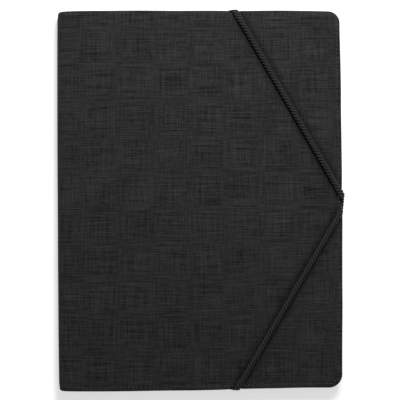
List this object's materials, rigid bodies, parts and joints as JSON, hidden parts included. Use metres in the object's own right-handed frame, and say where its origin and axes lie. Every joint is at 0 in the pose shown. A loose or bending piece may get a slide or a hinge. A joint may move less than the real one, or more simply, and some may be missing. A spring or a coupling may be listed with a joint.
{
  "type": "padfolio",
  "caption": "A4 padfolio in heathered charcoal cloth, with a round-edged spine, a writing pad, pockets and a pen loop, held shut by elastic cords across the cover corners.",
  "frame": {"origin": "middle of the back cover's outer face, on the surface that the padfolio lies on", "axes": "+X from the spine to the fore-edge, +Y to the head of the page, +Z out of the front cover"},
  "size_m": [0.2431, 0.3217, 0.0217],
  "materials": {
    "cover_cloth": "matt two-tone slub weave",
    "lining_cloth": "plain fine weave",
    "grey_board": "matt board",
    "writing_paper": "matt, ruled",
    "binding_tape": "fine grained",
    "elastic": "twisted woven elastic"
  },
  "bodies": {
    "back_cover": {"back_outer_fabric": "cover_cloth", "back_board": "grey_board", "back_lining": "lining_cloth", "pad_sleeve": "lining_cloth", "pad_backing_card": "grey_board", "pad_sheets": "writing_paper", "pad_binding_strip": "binding_tape", "pen_loop": "elastic", "upper_elastic_cord": "elastic", "lower_elastic_cord": "elastic"},
    "spine": {"spine_outer_fabric": "cover_cloth", "spine_board": "grey_board", "spine_lining": "lining_cloth"},
    "front_cover": {"front_outer_fabric": "cover_cloth", "front_board": "grey_board", "front_lining": "lining_cloth", "document_pocket": "lining_cloth", "card_slot_1": "lining_cloth", "card_slot_2": "lining_cloth", "card_slot_3": "lining_cloth"}
  },
  "joints": [
    {"name": "spine_fold", "type": "hinge", "parent": "back_cover", "child": "spine", "pos_m": [-0.11871, 0, 0.00129], "axis": [0, -1, 0], "range_deg": [0, 90]},
    {"name": "front_fold", "type": "hinge", "parent": "spine", "child": "front_cover", "pos_m": [-0.11871, 0, 0.01511], "axis": [0, -1, 0], "range_deg": [0, 90], "deforming": ["upper_elastic_cord", "lower_elastic_cord"]}
  ]
}
